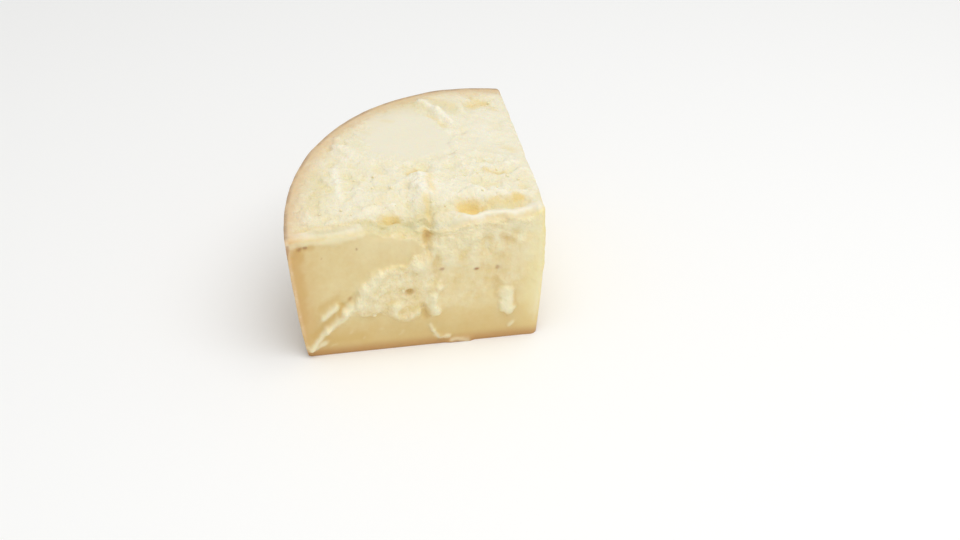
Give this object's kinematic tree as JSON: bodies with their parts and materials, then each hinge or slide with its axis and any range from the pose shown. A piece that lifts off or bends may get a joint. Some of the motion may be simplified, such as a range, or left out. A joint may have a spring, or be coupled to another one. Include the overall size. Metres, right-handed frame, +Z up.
{
  "type": "pecorino cheese wedge",
  "caption": "Hard pecorino: a quarter of a halved wheel with a rind on its heel and base, smooth and torn knife cuts and a crumbly split top.",
  "frame": {"origin": "middle of the bounding box at the base, on the surface the wedge stands on", "axes": "+Z up out of the split top, -Y out of one knife cut, +X out of the other; the rounded heel looks to -X and +Y"},
  "size_m": [0.1276, 0.1292, 0.081],
  "materials": {
    "pecorino_paste": "dry, crumbly ivory paste with a thin tan rind"
  },
  "bodies": {
    "root": {"pecorino_wedge": "pecorino_paste"}
  },
  "joints": []
}
